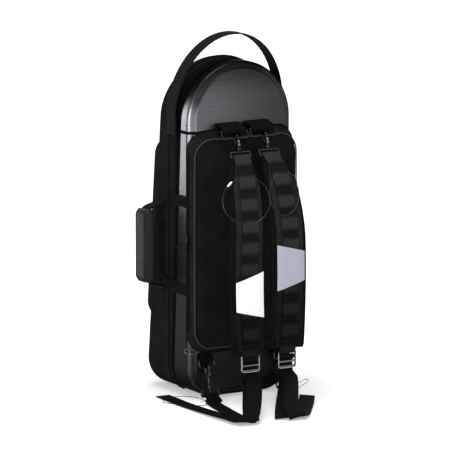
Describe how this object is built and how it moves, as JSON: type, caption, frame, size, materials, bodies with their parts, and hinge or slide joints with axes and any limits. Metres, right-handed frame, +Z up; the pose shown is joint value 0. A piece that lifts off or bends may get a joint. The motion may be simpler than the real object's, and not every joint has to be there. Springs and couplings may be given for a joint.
{
  "type": "backpack trumpet case",
  "caption": "Tall instrument case with a round top, brushed hard back shell, zipped fabric lid, padded backpack straps with snap hooks, music pocket and carry handles.",
  "frame": {"origin": "on the floor under the case, midway across it and midway through the back shell's depth at its base", "axes": "+Z up along the case, +X to the right of someone who faces the shoulder straps, +Y from the straps towards the lid"},
  "size_m": [0.2588, 0.428, 0.6261],
  "materials": {
    "brushed_shell": "dark gunmetal hard shell with fine brushing across it, satin",
    "case_cloth": "black woven pack cloth, matt",
    "pocket_cloth": "black fine woven cloth with a faint sheen",
    "webbing": "black ribbed nylon webbing",
    "piping": "thin grey piping cord",
    "plush_foam": "short black plush over foam",
    "zip_tape": "black coil zip and its tape",
    "hardware": "polished gunmetal plating",
    "grip_vinyl": "padded black leatherette with a fine grain",
    "left_reflective": "white reflective patch",
    "right_reflective": "pale blue grey reflective patch"
  },
  "bodies": {
    "case_back": {"back_shell": "brushed_shell", "foam_bed": "plush_foam", "instrument_stay": "webbing", "mouthpiece_block": "plush_foam", "zip_tape_back": "zip_tape", "hinge_strip": "webbing", "music_pocket": "pocket_cloth", "music_pocket_piping": "piping", "music_pocket_zip": "zip_tape", "left_top_tab": "webbing", "left_top_ring": "hardware", "right_top_tab": "webbing", "right_top_ring": "hardware", "left_foot_tab": "webbing", "left_foot_ring": "hardware", "right_foot_tab": "webbing", "right_foot_ring": "hardware", "left_strap_webbing": "webbing", "right_strap_webbing": "webbing"},
    "case_lid": {"lid_shell": "case_cloth", "zip_tape_lid": "zip_tape", "lid_piping": "case_cloth", "lid_lining": "plush_foam", "front_pocket": "pocket_cloth", "front_pocket_piping": "piping", "front_pocket_zip": "zip_tape", "top_handle_left_patch": "webbing", "top_handle_right_patch": "webbing", "side_band_upper": "webbing", "side_band_lower": "webbing"},
    "top_carry_handle": {"top_handle": "webbing"},
    "side_carry_handle": {"side_handle_grip": "grip_vinyl", "side_handle_webbing": "webbing"},
    "upper_zip_slider": {"upper_slider": "hardware"},
    "upper_zip_pull": {"upper_pull": "hardware"},
    "lower_zip_slider": {"lower_slider": "hardware"},
    "lower_zip_pull": {"lower_pull": "hardware"},
    "music_zip_slider": {"music_slider": "hardware"},
    "music_zip_pull": {"music_pull": "hardware"},
    "front_zip_slider": {"front_slider": "hardware"},
    "front_zip_pull": {"front_pull": "hardware"},
    "left_shoulder_strap": {"left_upper_hook": "hardware", "left_pad": "pocket_cloth", "left_pad_webbing": "webbing", "left_reflector": "left_reflective"},
    "right_shoulder_strap": {"right_upper_hook": "hardware", "right_pad": "pocket_cloth", "right_pad_webbing": "webbing", "right_reflector": "right_reflective"},
    "left_lock": {"left_ladder_lock": "hardware"},
    "right_lock": {"right_ladder_lock": "hardware"},
    "left_foot_hook": {"left_lower_hook": "hardware"},
    "right_foot_hook": {"right_lower_hook": "hardware"},
    "left_upper_hook_gate": {"left_upper_gate": "hardware"},
    "right_upper_hook_gate": {"right_upper_gate": "hardware"},
    "left_foot_hook_gate": {"left_lower_gate": "hardware"},
    "right_foot_hook_gate": {"right_lower_gate": "hardware"}
  },
  "joints": [
    {"name": "lid_hinge", "type": "hinge", "parent": "case_back", "child": "case_lid", "pos_m": [0.1075, 0.0315, 0], "axis": [0, 0.0568, -0.9984], "range_deg": [0, 170]},
    {"name": "top_handle_swing", "type": "hinge", "parent": "case_lid", "child": "top_carry_handle", "pos_m": [0, 0.024, 0.472], "axis": [1, 0, 0], "range_deg": [-25, 25], "stiffness_Nm_per_rad": 0.3},
    {"name": "side_handle_swing", "type": "hinge", "parent": "case_lid", "child": "side_carry_handle", "pos_m": [-0.105, 0.055, 0.2605], "axis": [0, 0, 1], "range_deg": [-30, 30], "stiffness_Nm_per_rad": 0.3, "deforming": ["side_handle_webbing"]},
    {"name": "upper_slider_travel", "type": "slide", "parent": "case_back", "child": "upper_zip_slider", "axis": [0, -0.0568, 0.9984], "range_m": [0, 0.21]},
    {"name": "upper_pull_swing", "type": "hinge", "parent": "upper_zip_slider", "child": "upper_zip_pull", "pos_m": [-0.10105, 0.01676, 0.259], "axis": [0, 0.9984, 0.0568], "range_deg": [0, 165]},
    {"name": "lower_slider_travel", "type": "slide", "parent": "case_back", "child": "lower_zip_slider", "axis": [0, -0.0568, 0.9984], "range_m": [-0.165, 0]},
    {"name": "lower_pull_swing", "type": "hinge", "parent": "lower_zip_slider", "child": "lower_zip_pull", "pos_m": [-0.10105, 0.0183, 0.232], "axis": [0, 0.9984, 0.0568], "range_deg": [0, 150]},
    {"name": "music_slider_travel", "type": "slide", "parent": "case_back", "child": "music_zip_slider", "axis": [0, 0, 1], "range_m": [-0.145, 0.14]},
    {"name": "music_pull_swing", "type": "hinge", "parent": "music_zip_slider", "child": "music_zip_pull", "pos_m": [-0.10785, -0.027, 0.279], "axis": [0, 1, 0], "range_deg": [0, 165]},
    {"name": "front_slider_travel", "type": "slide", "parent": "case_lid", "child": "front_zip_slider", "axis": [1, 0, 0], "range_m": [0, 0.08]},
    {"name": "front_pull_swing", "type": "hinge", "parent": "front_zip_slider", "child": "front_zip_pull", "pos_m": [-0.04, 0.105, 0.44485], "axis": [0, -1, 0], "range_deg": [0, 165]},
    {"name": "left_strap_swing", "type": "hinge", "parent": "case_back", "child": "left_shoulder_strap", "pos_m": [-0.0285, -0.0608, 0.4535], "axis": [-1, 0, 0], "range_deg": [0, 35], "deforming": ["left_strap_webbing"]},
    {"name": "right_strap_swing", "type": "hinge", "parent": "case_back", "child": "right_shoulder_strap", "pos_m": [0.0285, -0.0608, 0.4535], "axis": [-1, 0, 0], "range_deg": [0, 35], "deforming": ["right_strap_webbing"]},
    {"name": "left_lock_tilt", "type": "hinge", "parent": "left_shoulder_strap", "child": "left_lock", "pos_m": [-0.0365, -0.12275, 0.0875], "axis": [-1, 0, 0], "range_deg": [-5, 12]},
    {"name": "right_lock_tilt", "type": "hinge", "parent": "right_shoulder_strap", "child": "right_lock", "pos_m": [0.0365, -0.12275, 0.0875], "axis": [-1, 0, 0], "range_deg": [-5, 12]},
    {"name": "left_foot_hook_swing", "type": "hinge", "parent": "case_back", "child": "left_foot_hook", "pos_m": [-0.075, -0.0438, 0.057], "axis": [-1, 0, 0], "range_deg": [-8, 25]},
    {"name": "right_foot_hook_swing", "type": "hinge", "parent": "case_back", "child": "right_foot_hook", "pos_m": [0.075, -0.0438, 0.057], "axis": [-1, 0, 0], "range_deg": [-8, 25]},
    {"name": "left_upper_gate_swing", "type": "hinge", "parent": "left_shoulder_strap", "child": "left_upper_hook_gate", "pos_m": [-0.0285, -0.07179, 0.44254], "axis": [-1, 0, 0], "range_deg": [0, 20], "stiffness_Nm_per_rad": 0.01},
    {"name": "right_upper_gate_swing", "type": "hinge", "parent": "right_shoulder_strap", "child": "right_upper_hook_gate", "pos_m": [0.0285, -0.07179, 0.44254], "axis": [-1, 0, 0], "range_deg": [0, 20], "stiffness_Nm_per_rad": 0.01},
    {"name": "left_foot_gate_swing", "type": "hinge", "parent": "left_foot_hook", "child": "left_foot_hook_gate", "pos_m": [-0.075, -0.05083, 0.04316], "axis": [-1, 0, 0], "range_deg": [0, 20], "stiffness_Nm_per_rad": 0.01},
    {"name": "right_foot_gate_swing", "type": "hinge", "parent": "right_foot_hook", "child": "right_foot_hook_gate", "pos_m": [0.075, -0.05083, 0.04316], "axis": [-1, 0, 0], "range_deg": [0, 20], "stiffness_Nm_per_rad": 0.01}
  ]
}
